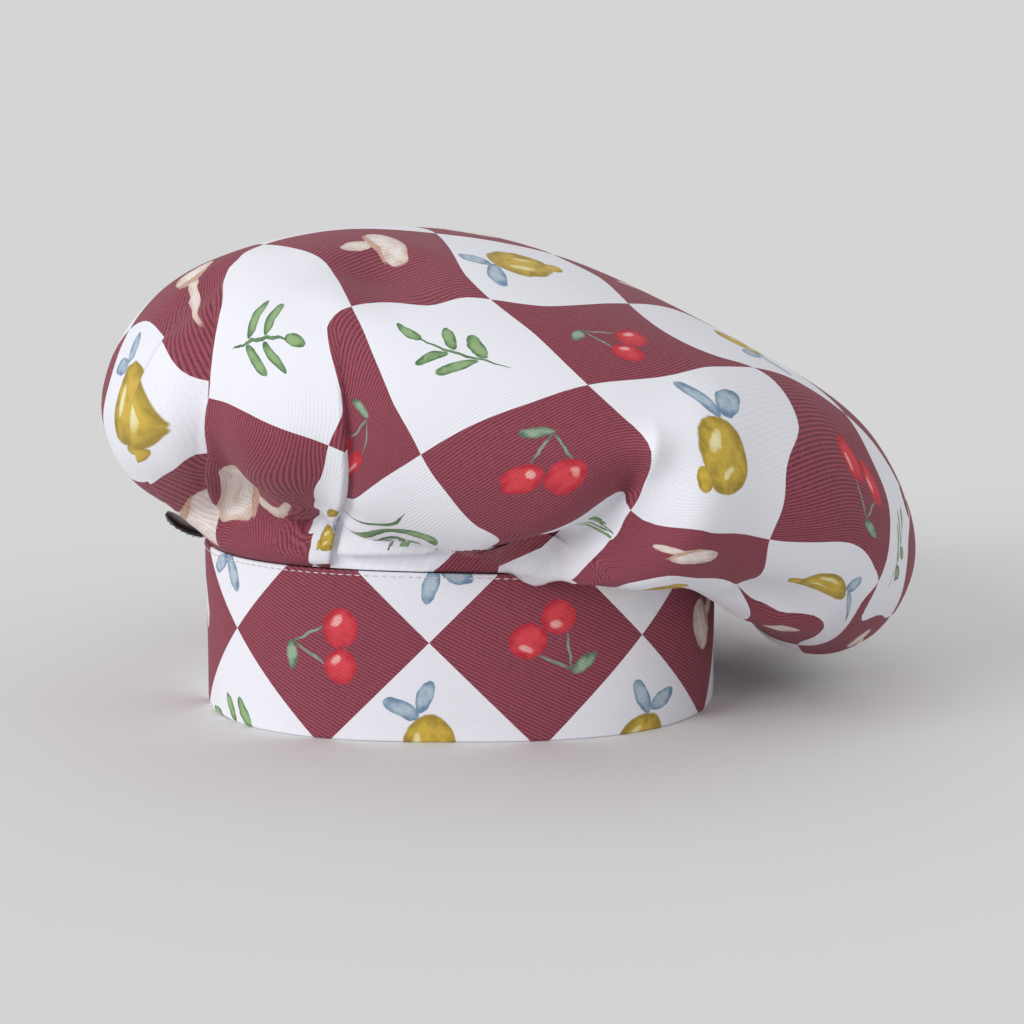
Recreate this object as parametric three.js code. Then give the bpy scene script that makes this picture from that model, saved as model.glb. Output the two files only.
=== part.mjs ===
// Chef hat: a wide soft crown gathered onto a straight headband. The crown slumps over to its
// right side, and a short end of hook tape stands out of the seam at the left.
// Millimetres, +Z up, +X to the right of someone who looks at the front, which faces -Y.
// The band's rim stands on z = 0, and the hat is centred over the origin.
import * as THREE from "three";

// Headband
const bandHalfWidth = 92; // from its axis to a side face
const bandFront = { depth: 93, squareness: 2.68 }; // half depth; squareness 2 is an ellipse
const bandBack = { depth: 99, squareness: 2.15 };
const bandHeight = 55.2; // at the axis
const bandSlope = -0.019; // the top edge sinks towards +X
const bandWall = 2.2; // two layers of twill
const bandEdge = 0.5; // folded edges are rounded by this much
const bandColumns = 84;

// Crown
const crownWall = 1.6; // a single layer with its print
const crownTop = 164.5; // the cloth's height over the band's axis
const footInset = 1.3; // the cloth comes out inside the band's outer face
const footRise = 4.2; // and stands up this far before it turns over
const footTurn = 1.2; // the turn's reach past the band's outer face
const seamGap = 0.3;
const crownColumns = 78;
const crownRows = 33;
const rowCrowding = 1.4; // rows lie closer near the seam
const columnCrowding = 0.48; // and columns closer round the front folds
const frontFolds = 12; // azimuth of the middle of those folds
const coreDistance = 0.65; // share of a section's reach at which its folds aim
const curveSamples = 200; // along a section's curve
const foldSteps = 30; // along a fold's path
const footFade = 0.05; // folds start above this rise, so the seam stays in its line
const wallSmoothing = 2; // rounds that even out the directions in which the wall is thickened

// Closure tab
const tabAzimuth = -78;
const tabWidth = 20;
const tabInset = 0.1; // its root lies this far inside the band's outer face
const tabWall = 1.2;
const tabTip = { distance: 107.5, height: 64 };
const tabSag = 1.6; // how far its middle hangs below a straight line
const tabCorner = 0.35; // share of its length that the rounded end takes
const tabEnd = 0.45; // share of its width left at the very end
const tabSteps = 10;

// Finishes
const cottonTwill = { color: 0x7a3a4b, roughness: 0.85, metalness: 0 };
const hookTape = { color: 0x141416, roughness: 0.45, metalness: 0 };

// A row for each meridian of the crown, by azimuth: 0 is the front and 90 is +X. Each pair is
// a distance from the band's axis and a height, from the lowest turn of the cloth to its roof.
const stationNames = ["under", "lip", "belly", "brow", "shoulder", "roof"];
const crownSections = readTable(["azimuth", ...stationNames], [
  [-180, [117, 66], [132, 74], [146, 88], [151, 107], [142, 131], [108, 150]],
  [-150, [112, 68], [126, 77], [138, 91], [143, 109], [134, 132], [105, 152]],
  [-120, [110, 70], [120, 80], [130, 93], [132, 109], [121, 131], [95, 151]],
  [-90, [108, 70], [117, 80], [124, 93], [126, 108], [117, 131], [90, 151]],
  [-60, [109, 70], [121, 79], [130, 92], [133, 108], [124, 131], [98, 153]],
  [-30, [101, 69], [115, 79], [137, 91], [147, 107], [140, 134], [110, 156]],
  [0, [98, 64.5], [126, 68.5], [147, 82], [156, 102], [150, 127], [116, 150]],
  [30, [114, 58], [138, 57], [157, 70], [166, 91], [156, 117], [114, 140]],
  [60, [112, 34], [136, 30], [157, 43], [166, 66], [153, 99], [110, 127]],
  [90, [109, 19], [131, 10], [152, 21], [161, 47], [146, 84], [109, 115]],
  [120, [111, 27], [131, 22], [150, 35], [158, 60], [144, 95], [110, 124]],
  [150, [113, 53], [131, 54], [148, 66], [153, 89], [142, 117], [110, 139]],
]);

// A row for each fold. Its path runs through pairs of azimuth and rise, where rise is the share
// of the way from seam to pole. The cloth moves out by depth, or in if that is negative, over
// about a width either side, and across the path by lean. It fades in and out over the eases.
const crownFolds = readTable(["name", "path", "depth", "width", "lean", "easeIn", "easeOut"], [
  ["front valley", [[5, 0.12], [12, 0.16], [17, 0.21], [20, 0.27], [21, 0.35]], -14, 11, 0, 0.3, 0.35],
  ["front tongue", [[5, 0.05], [12, 0.06], [20, 0.08]], 7, 7, 0, 0.3, 0.4],
  ["front lip", [[-21, 0.1], [-14, 0.12], [-6, 0.13]], 4, 9, 0, 0.15, 0.5],
  ["front ridge", [[18, 0.05], [23, 0.13], [26, 0.22], [27, 0.34], [32, 0.48]], 7, 13, -4, 0.15, 0.5],
  ["left tuck", [[-50, 0.01], [-36, 0.14], [-30, 0.3], [-31, 0.42], [-37, 0.55]], -8, 10, 0, 0.05, 0.6],
  ["left shoulder tuck", [[-40, 0.36], [-40, 0.45], [-37, 0.55]], -4, 9, 0, 0.4, 0.4],
  ["overlapped pleat", [[-24, 0.01], [-19, 0.16], [-12, 0.3], [-14, 0.44]], -5, 9, 0, 0.05, 0.5],
  ["side pocket", [[36, 0.15], [42, 0.175], [48, 0.195], [53, 0.24]], -11, 12, 0, 0.3, 0.3],
  ["roof dent", [[-18, 0.62], [-10, 0.54], [-13, 0.46]], -5, 15, 0, 0.5, 0.5],
]);

function readTable(columns, rows) {
  return rows.map((row) => Object.fromEntries(columns.map((name, i) => [name, row[i]])));
}

function bandDistance(azimuth) {
  const angle = THREE.MathUtils.degToRad(azimuth);
  const { depth, squareness } = Math.cos(angle) > 0 ? bandFront : bandBack;
  const side = Math.abs(Math.sin(angle)) / bandHalfWidth;
  const ahead = Math.abs(Math.cos(angle)) / depth;
  return (side ** squareness + ahead ** squareness) ** (-1 / squareness);
}

function onMeridian(azimuth, distance, height) {
  const angle = THREE.MathUtils.degToRad(azimuth);
  return new THREE.Vector3(distance * Math.sin(angle), -distance * Math.cos(angle), height);
}

function seamHeight(azimuth) {
  return bandHeight + bandSlope * onMeridian(azimuth, bandDistance(azimuth), 0).x;
}

function throughFour(before, from, to, after, share) {
  const slopeFrom = (to - before) / 2;
  const slopeTo = (after - from) / 2;
  const bend = 3 * (to - from) - 2 * slopeFrom - slopeTo;
  const twist = 2 * (from - to) + slopeFrom + slopeTo;
  return from + share * (slopeFrom + share * (bend + share * twist));
}

// The table's stations at any azimuth, each [distance, height].
function stationsAt(azimuth) {
  const count = crownSections.length;
  const place = ((azimuth - crownSections[0].azimuth) / 360) * count;
  const row = Math.floor(place);
  const section = (step) => crownSections[(row + step + 2 * count) % count];
  return stationNames.map((name) =>
    [0, 1].map((item) =>
      throughFour(
        section(-1)[name][item], section(0)[name][item],
        section(1)[name][item], section(2)[name][item], place - row,
      ),
    ),
  );
}

// The crown's smooth cross-section at one azimuth, as a function of rise.
function meridian(azimuth) {
  const bandFace = bandDistance(azimuth);
  const seam = seamHeight(azimuth) + seamGap;
  const roofOpposite = stationsAt(azimuth + 180).at(-1);
  const knots = [
    [bandFace - footInset, seam],
    [bandFace + footTurn, seam + footRise],
    ...stationsAt(azimuth),
    [0, crownTop],
    [-roofOpposite[0], roofOpposite[1]],
  ];
  const curve = new THREE.CatmullRomCurve3(knots.map(([x, y]) => new THREE.Vector3(x, y, 0)));
  const poleShare = (knots.length - 2) / (knots.length - 1);
  const points = Array.from({ length: curveSamples + 1 }, (_, i) =>
    curve.getPoint((poleShare * i) / curveSamples),
  );
  const lengths = [0];
  for (let i = 1; i <= curveSamples; i += 1) {
    lengths.push(lengths[i - 1] + points[i].distanceTo(points[i - 1]));
  }
  return (rise) => {
    const target = rise * lengths[curveSamples];
    const next = Math.max(1, lengths.findIndex((length) => length >= target));
    const share = (target - lengths[next - 1]) / (lengths[next] - lengths[next - 1]);
    const spot = points[next - 1].clone().lerp(points[next], share);
    return onMeridian(azimuth, spot.x, spot.y);
  };
}

const columnAzimuths = Array.from({ length: crownColumns }, (_, i) => {
  const even = (360 * i) / crownColumns - 180;
  const crowd = columnCrowding * Math.sin(THREE.MathUtils.degToRad(even));
  return frontFolds + even - THREE.MathUtils.radToDeg(crowd);
});
const rowRises = Array.from({ length: crownRows }, (_, k) => (k / (crownRows - 1)) ** rowCrowding);

// Outward direction at each point of a grid of columns that closes on itself.
function gridNormals(grid) {
  return grid.map((column, i) =>
    column.map((point, k) => {
      const around = grid[(i + 1) % grid.length][k].clone().sub(grid.at(i - 1)[k]);
      const up = column[Math.min(k + 1, column.length - 1)].clone().sub(column[Math.max(k - 1, 0)]);
      return around.cross(up).normalize();
    }),
  );
}

function evenOut(directions) {
  return directions.map((column, i) =>
    column.map((direction, k) =>
      direction
        .clone()
        .multiplyScalar(2)
        .add(directions[(i + 1) % directions.length][k])
        .add(directions.at(i - 1)[k])
        .add(column[Math.min(k + 1, column.length - 1)])
        .add(column[Math.max(k - 1, 0)])
        .normalize(),
    ),
  );
}

// How near a point is to a fold's path, how far along it that is, and which way it runs there.
function nearestOnPath(point, path) {
  let best = { distance: Infinity };
  let walked = 0;
  for (let i = 1; i < path.points.length; i += 1) {
    const start = path.points[i - 1];
    const run = path.points[i].clone().sub(start);
    const length = run.length();
    const share = THREE.MathUtils.clamp(point.clone().sub(start).dot(run) / length ** 2, 0, 1);
    const distance = point.distanceTo(start.clone().addScaledVector(run, share));
    if (distance < best.distance) {
      best = { distance, along: (walked + share * length) / path.length, run: run.divideScalar(length) };
    }
    walked += length;
  }
  return best;
}

function foldPath(fold) {
  const spots = fold.path.map(([azimuth, rise]) => new THREE.Vector2(azimuth, rise));
  const points = new THREE.SplineCurve(spots).getPoints(foldSteps).map((spot) => meridian(spot.x)(spot.y));
  let length = 0;
  points.forEach((point, i) => {
    length += i ? point.distanceTo(points[i - 1]) : 0;
  });
  return { points, length };
}

function smoothGrid() {
  return columnAzimuths.map((azimuth) => rowRises.map(meridian(azimuth)));
}

// Directions out of the crown's hollow, from a point deep inside each meridian's bulge.
function outwardDirections(grid) {
  return grid.map((column, i) => {
    const stations = stationsAt(columnAzimuths[i]);
    const mean = (item) => stations.reduce((sum, station) => sum + station[item], 0) / stations.length;
    const core = onMeridian(columnAzimuths[i], coreDistance * mean(0), mean(1));
    return column.map((point) => point.clone().sub(core).normalize());
  });
}

function foldedGrid(grid) {
  const outward = outwardDirections(grid);
  const folds = crownFolds.map((fold) => ({ ...fold, course: foldPath(fold) }));
  return grid.map((column, i) =>
    column.map((point, k) => {
      const moved = point.clone();
      for (const fold of folds) {
        const near = nearestOnPath(point, fold.course);
        const fade =
          THREE.MathUtils.smoothstep(near.along, 0, fold.easeIn) *
          (1 - THREE.MathUtils.smoothstep(near.along, 1 - fold.easeOut, 1)) *
          THREE.MathUtils.smoothstep(rowRises[k], 0, footFade);
        const amount = fade * Math.exp(-((near.distance / fold.width) ** 2));
        const across = near.run.clone().cross(outward[i][k]).normalize();
        moved.addScaledVector(outward[i][k], amount * fold.depth);
        moved.addScaledVector(across, amount * fold.lean);
      }
      return moved;
    }),
  );
}

// Indexed mesh from a list of rings, each joined to the next.
function stitchRings(rings, closeEnds) {
  const size = rings[0].length;
  const index = [];
  for (let r = 0; r + (closeEnds ? 0 : 1) < rings.length; r += 1) {
    const lower = r * size;
    const upper = ((r + 1) % rings.length) * size;
    for (let i = 0; i < size; i += 1) {
      const j = (i + 1) % size;
      index.push(lower + i, lower + j, upper + j, lower + i, upper + j, upper + i);
    }
  }
  return { points: rings.flat(), index };
}

function toGeometry({ points, index }) {
  const geometry = new THREE.BufferGeometry();
  geometry.setAttribute("position", new THREE.Float32BufferAttribute(points.flatMap((p) => p.toArray()), 3));
  geometry.setIndex(index);
  geometry.computeVertexNormals();
  return geometry;
}

// Closed ring: up the outer face, over the top edge, down the inner face and back under the rim.
function headbandGeometry() {
  const azimuths = Array.from({ length: bandColumns }, (_, i) => (360 * i) / bandColumns);
  const ring = (inward, lift, fromTop) =>
    azimuths.map((azimuth) =>
      onMeridian(azimuth, bandDistance(azimuth) - inward, lift + (fromTop ? seamHeight(azimuth) : 0)),
    );
  return toGeometry(
    stitchRings(
      [
        ring(0, bandEdge, false),
        ring(0, -bandEdge, true),
        ring(bandEdge, 0, true),
        ring(bandWall - bandEdge, 0, true),
        ring(bandWall, -bandEdge, true),
        ring(bandWall, bandEdge, false),
        ring(bandWall - bandEdge, 0, false),
        ring(bandEdge, 0, false),
      ],
      true,
    ),
  );
}

// Outer skin from the seam to the pole, and the same skin one wall further in.
function crownGeometry() {
  const outer = foldedGrid(smoothGrid());
  const poleRow = crownRows - 1;
  let normals = gridNormals(outer);
  for (let round = 0; round < wallSmoothing; round += 1) {
    normals = evenOut(normals);
  }
  const inner = outer.map((column, i) =>
    column.map((point, k) => point.clone().addScaledVector(normals[i][k], -crownWall)),
  );
  const pole = outer[0][poleRow];
  inner.forEach((column) => column[poleRow].copy(pole).setZ(pole.z - crownWall));

  const size = crownColumns * poleRow;
  const outerPole = 2 * size;
  const place = (i, k) => (k === poleRow ? outerPole : (i % crownColumns) * poleRow + k);
  const index = [];
  const addSkins = (a, b, c) => {
    index.push(a, b, c);
    const inside = (spot) => (spot === outerPole ? outerPole + 1 : spot + size);
    index.push(inside(c), inside(b), inside(a));
  };
  outer.forEach((column, i) => {
    const next = outer[(i + 1) % crownColumns];
    for (let k = 0; k < poleRow - 1; k += 1) {
      const [a, b, c, d] = [place(i, k), place(i + 1, k), place(i + 1, k + 1), place(i, k + 1)];
      const risingIsShort = column[k].distanceTo(next[k + 1]) < column[k + 1].distanceTo(next[k]);
      addSkins(a, b, risingIsShort ? c : d);
      addSkins(risingIsShort ? a : b, c, d);
    }
    addSkins(place(i, poleRow - 1), place(i + 1, poleRow - 1), outerPole);
    const [foot, nextFoot] = [place(i, 0), place(i + 1, 0)];
    index.push(foot, foot + size, nextFoot + size, foot, nextFoot + size, nextFoot);
  });
  const belowPole = (grid) => grid.flatMap((column) => column.slice(0, poleRow));
  return toGeometry({ points: [...belowPole(outer), ...belowPole(inner), pole, inner[0][poleRow]], index });
}

// A strip that leaves the seam, sags a little and ends round.
function closureTabGeometry() {
  const root = { distance: bandDistance(tabAzimuth) - tabInset, height: seamHeight(tabAzimuth) + seamGap };
  const rings = Array.from({ length: tabSteps + 1 }, (_, step) => {
    const share = step / tabSteps;
    const distance = THREE.MathUtils.lerp(root.distance, tabTip.distance, share);
    const sag = tabSag * 4 * share * (1 - share);
    const height = THREE.MathUtils.lerp(root.height, tabTip.height, share) - sag;
    const past = Math.max(0, share - (1 - tabCorner)) / tabCorner;
    const halfWidth = (tabWidth / 2) * (tabEnd + (1 - tabEnd) * Math.sqrt(1 - past ** 2));
    const halfAngle = THREE.MathUtils.radToDeg(halfWidth / distance);
    const corner = (side, lift) => {
      const azimuth = tabAzimuth + side * halfAngle;
      const followsBand = bandDistance(azimuth) - bandDistance(tabAzimuth);
      return onMeridian(azimuth, distance + followsBand, height + lift);
    };
    return [corner(-1, 0), corner(1, 0), corner(1, tabWall), corner(-1, tabWall)];
  });
  const { points, index } = stitchRings(rings, false);
  const end = points.length - 4;
  index.push(0, 2, 1, 0, 3, 2, end, end + 1, end + 2, end, end + 2, end + 3);
  return toGeometry({ points, index });
}

function piece(name, geometry, finish) {
  const mesh = new THREE.Mesh(geometry, new THREE.MeshStandardMaterial(finish));
  mesh.name = name;
  return mesh;
}

const hat = new THREE.Group();
hat.add(
  piece("headband", headbandGeometry(), cottonTwill),
  piece("crown", crownGeometry(), cottonTwill),
  piece("closure_tab", closureTabGeometry(), hookTape),
);
const middle = new THREE.Box3().setFromObject(hat, true).getCenter(new THREE.Vector3());
hat.position.set(-middle.x, -middle.y, 0);
hat.updateMatrixWorld(true);

export default hat;
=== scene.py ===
# Chef hat: a wide checked crown gathered onto a straight band, with an end of hook tape.
import math

import bmesh
import bpy
import numpy as np
from mathutils import Matrix, Vector, noise
from mathutils.bvhtree import BVHTree
from mathutils.geometry import barycentric_transform


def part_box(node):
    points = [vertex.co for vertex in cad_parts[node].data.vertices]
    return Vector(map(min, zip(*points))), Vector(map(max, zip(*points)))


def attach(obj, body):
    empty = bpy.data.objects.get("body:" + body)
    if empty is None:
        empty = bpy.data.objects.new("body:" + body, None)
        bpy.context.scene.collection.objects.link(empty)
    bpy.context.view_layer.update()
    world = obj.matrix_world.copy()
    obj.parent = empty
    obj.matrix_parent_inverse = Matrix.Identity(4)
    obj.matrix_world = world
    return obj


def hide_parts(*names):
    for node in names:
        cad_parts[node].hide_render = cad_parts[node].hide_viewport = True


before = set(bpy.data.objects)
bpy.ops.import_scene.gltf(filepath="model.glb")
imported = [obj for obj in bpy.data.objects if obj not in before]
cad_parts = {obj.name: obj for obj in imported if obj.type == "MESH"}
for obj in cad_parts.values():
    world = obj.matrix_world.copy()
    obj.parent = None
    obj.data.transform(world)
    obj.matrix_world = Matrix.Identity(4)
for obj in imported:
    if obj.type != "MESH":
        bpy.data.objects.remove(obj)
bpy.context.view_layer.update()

mm = 0.001
tiny = 0.01 * mm  # a length below this counts as none
bpy.ops.object.select_all(action="DESELECT")
print("frame loaded:", ", ".join(sorted(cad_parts)))

# The band's axis stands a front depth behind the band's front face.
bandLow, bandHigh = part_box("headband")
bandFrontDepth = 93 * mm
axis = Vector(((bandLow.x + bandHigh.x) / 2, bandLow.y + bandFrontDepth, 0))

# The photograph's viewpoint, from the band's axis.
viewpoint = {
    "offset": Vector((18.3, -640, 152)) * mm,
    "downDegrees": 8.0,
    "lens": 61.4,
    "sensor": 36.0,
    "frame": 1024,  # pixels across
}


def makeCamera(values):
    data = bpy.data.cameras.new("camera")
    data.lens, data.sensor_width = values["lens"], values["sensor"]
    camera = bpy.data.objects.new("camera", data)
    camera.location = axis + values["offset"]
    camera.rotation_euler = (math.radians(90 - values["downDegrees"]), 0, 0)
    bpy.context.scene.collection.objects.link(camera)
    bpy.context.scene.camera = camera
    bpy.context.view_layer.update()
    return camera


camera = makeCamera(viewpoint)
halfFrame = viewpoint["frame"] / 2
pixelsPerTangent = viewpoint["lens"] / viewpoint["sensor"] * viewpoint["frame"]


# Direction from the camera through a pixel of the photograph.
def rayThrough(pixel):
    across = (pixel[0] - halfFrame) / pixelsPerTangent
    up = (halfFrame - pixel[1]) / pixelsPerTangent
    return (camera.matrix_world.to_3x3() @ Vector((across, up, -1))).normalized()


# Floor and light

studio = {
    "backdrop": "#d5d5d5",
    "floorSize": 40.0,
    "keyFrom": Vector((-1.17, -1.08, 0.58)),
    "keyStrength": 1.5,
    "keySpread": 28,  # degrees; a wide lamp, so its shadows are soft
}


def linear(hexColour):
    parts = [int(hexColour[i:i + 2], 16) / 255 for i in (1, 3, 5)]
    return [p / 12.92 if p <= 0.04045 else ((p + 0.055) / 1.055) ** 2.4 for p in parts] + [1.0]


# Adds a shader node with its settings and inputs, and returns the output that is asked for.
def addNode(tree, kind, inputs=(), output=0, **settings):
    node = tree.nodes.new("ShaderNode" + kind)
    for name, value in settings.items():
        setattr(node, name, value)
    pairs = inputs.items() if isinstance(inputs, dict) else enumerate(inputs)
    for socket, value in pairs:
        if isinstance(value, bpy.types.NodeSocket):
            tree.links.new(value, node.inputs[socket])
        elif value is not None:
            node.inputs[socket].default_value = value
    return node.outputs[output]


# The floor takes the grey that the light on it turns into the backdrop's.
def makeStudio(values):
    backdrop = linear(values["backdrop"])
    fromKey = values["keyStrength"] / math.pi * values["keyFrom"].normalized().z
    bpy.ops.mesh.primitive_plane_add(size=values["floorSize"], location=(axis.x, axis.y, 0))
    floor = bpy.context.object
    floor.name = "floor"
    paper = bpy.data.materials.new("matt paper")
    paper.use_nodes = True
    shader = paper.node_tree.nodes["Principled BSDF"]
    shader.inputs["Base Color"].default_value = [c / (c + fromKey) for c in backdrop[:3]] + [1.0]
    shader.inputs["Roughness"].default_value = 1.0
    shader.inputs["Specular IOR Level"].default_value = 0.0
    floor.data.materials.append(paper)
    data = bpy.data.lights.new("key", "SUN")
    data.energy, data.angle = values["keyStrength"], math.radians(values["keySpread"])
    lamp = bpy.data.objects.new("key", data)
    lamp.location = axis + values["keyFrom"]
    lamp.rotation_euler = values["keyFrom"].to_track_quat("Z", "Y").to_euler()
    bpy.context.scene.collection.objects.link(lamp)
    world = bpy.data.worlds.new("studio")
    world.use_nodes = True
    world.node_tree.nodes["Background"].inputs["Color"].default_value = backdrop
    bpy.context.scene.world = world
    bpy.context.scene.view_settings.view_transform = "Standard"


makeStudio(studio)
print("studio made")

# Crown: the outer skin of the CAD crown, resampled finely, with its folds sharpened

crown = {
    "wall": 0.6 * mm,
    "rows": 122,  # of points from seam to pole
    "frontStep": 0.95,  # degrees between columns at the front
    "backStep": 2.3,
    "frontMiddle": 5,  # azimuth that the fine columns lie round; 0 is the front and 90 is +X
    "frontReach": 72,  # degrees that they go on to either side
    "backSeam": -168,  # azimuth of the first column
    "foldSide": 0.45,  # degrees to the columns on either side of a fold's line
    "foldGap": 0.95,  # degrees kept between the lines of two folds
    "underReach": 9 * mm,  # how far from a fold the cloth under it is pressed down
    "edgeRadius": 1.1 * mm,
    "edgeDip": 0.3,  # share of its height that a fold loses right at its edge
    "undercut": 1.0 * mm,  # how far the edge of a fold 3 mm high hangs over the cloth beneath it
    "undercutHeight": 3 * mm,
    "undercutReach": 2.2 * mm,
    "neitherRise": (0.17, 0.26),  # climbs over which a fold that lies over neither side grows
    "neitherRound": 0.7 * mm,  # how round its line is
    "ripple": 0.35 * mm,
    "rippleLength": 34 * mm,
    "rippleFade": 0.1,  # climb over which ripples grow from the seam
    "footFade": 0.06,  # the same for folds and creases
    "lineWindow": 9,  # rows over which a fold's line is evened out
    "evenStep": 1.5,  # degrees between the columns of an even grid, on which places are found
    "evenRows": 120,
    "thinWall": 0.05,  # share of the wall that is left where the cloth turns tightly
    "cut": 0.53,  # metres across the flat round that it was cut as
}

# Folds run from an azimuth at the seam towards one at the pole. Climb is the share of the rows
# from seam to pole: a fold ends at the climb top and dies out over the climb fade below it. Each
# pixel is a place on the fold's line in the photograph; a fold out of its sight runs straight.
# Over names the side that lies on top, and neither makes a ridge or a hollow. Height is how far
# the cloth is lifted, reach how far from the line that dies away, and hides the cloth tucked away
# at the seam, all in mm.
foldColumns = [
    "name", "pixels", "seamAzimuth", "topAzimuth", "top", "fade", "over", "height", "reach", "hides",
]
foldRows = [
    ("pleatA", [], -150, -146, 0.54, 0.2, "right", 2.4, 12, 0),
    ("pleatB", [], -124, -121, 0.50, 0.2, "left", 2.4, 12, 0),
    ("pleatC", [], -98, -97, 0.54, 0.2, "right", 2.4, 12, 0),
    ("shoulder", [(215, 264), (190, 305), (177, 326), (163, 347)], -70, -43, 0.66, 0.1, "right", 2.2, 12, 6),
    ("leftTuck", [(237, 262), (228, 267), (221, 330), (214, 397), (212, 453), (214, 500), (219, 530)],
     -51, -37, 0.66, 0.12, "right", 2.8, 12, 50),
    ("pleat", [(335, 345), (340, 385), (343, 430), (344, 470), (342, 500), (333, 530)],
     -25, -14, 0.55, 0.12, "left", 3.6, 12, 60),
    ("hollow", [(645, 464.6), (621.8, 491.4), (577, 521.8), (546.8, 545)],
     9, 20.4, 0.47, 0.05, "neither", -6.0, 6, 0),
    ("ridge", [(652, 448), (651, 460), (643, 484), (630, 511), (610, 540), (576, 571)],
     16, 21.4, 0.495, 0.035, "neither", 6.5, 4.5, 0),
    ("pleatD", [], 52, 55, 0.34, 0.2, "left", 2.4, 12, 0),
    ("pleatE", [], 78, 79, 0.50, 0.2, "left", 2.4, 12, 0),
    ("pleatF", [], 106, 105, 0.54, 0.2, "right", 2.4, 12, 0),
    ("pleatG", [], 134, 132, 0.50, 0.2, "left", 2.4, 12, 0),
    ("pleatH", [], 163, 160, 0.54, 0.2, "right", 2.4, 12, 0),
]
folds = [dict(zip(foldColumns, row)) for row in foldRows]

# Short creases and waves, along lines of pixels in the photograph: how far the cloth stands
# proud along the line, how far that reaches, both in mm, and whether its top is sharp.
creaseColumns = ["name", "pixels", "height", "reach", "sharp"]
creaseRows = [
    ("left crease", [(258, 513), (290, 518), (316, 521), (330, 523)], -4.6, 3.2, False),
    ("pocket top", [(741, 582.5), (770, 585), (803, 582), (832, 576), (855, 574.5)], 2.8, 5, True),
    ("roof hollow", [(350, 238), (385, 272), (402, 292), (412, 320)], -4.2, 13, False),
    ("roof wave", [(305, 236), (336, 266), (347, 295), (338, 325)], 2.0, 9, False),
    ("roll", [(728, 601), (752, 618), (776, 632), (814, 635), (839, 624)], -2.0, 3, False),
]
creases = [dict(zip(creaseColumns, row)) for row in creaseRows]
creaseLine = {
    "points": 25,
    "taper": 0.3,  # share of its length over which a crease dies out at each end
    "least": 0.02,  # added to that share, so that the very ends still stand a little
}

# The front lip: the cloth hangs over a strip of itself above the seam.
lip = {
    "pixels": [(341, 552), (378, 550.3), (428, 549.6), (462, 550)],
    "row": 10,  # the row of points that runs along it
    "from": -23, "to": 8,  # azimuths
    "fadeIn": 2.5, "fadeOut": 9,  # degrees within them
    "bendIn": (14, 4), "bendOut": 12,  # degrees beyond them over which the rows begin to bend
    "bendTop": 3.5,  # times its row, above which no row is bent
    "foot": 0.03,  # climb over which the strip beneath it begins to move
    "out": 2.8 * mm,  # of the cloth above
    "in": 3.6 * mm,  # of the strip beneath
    "reach": 5.0 * mm,
    "drop": 1.3 * mm,  # of the cloth above
    "rise": 0.6,  # of the strip beneath, as a share of the drop
    "dropReach": 2.5 * mm,
}

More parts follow.
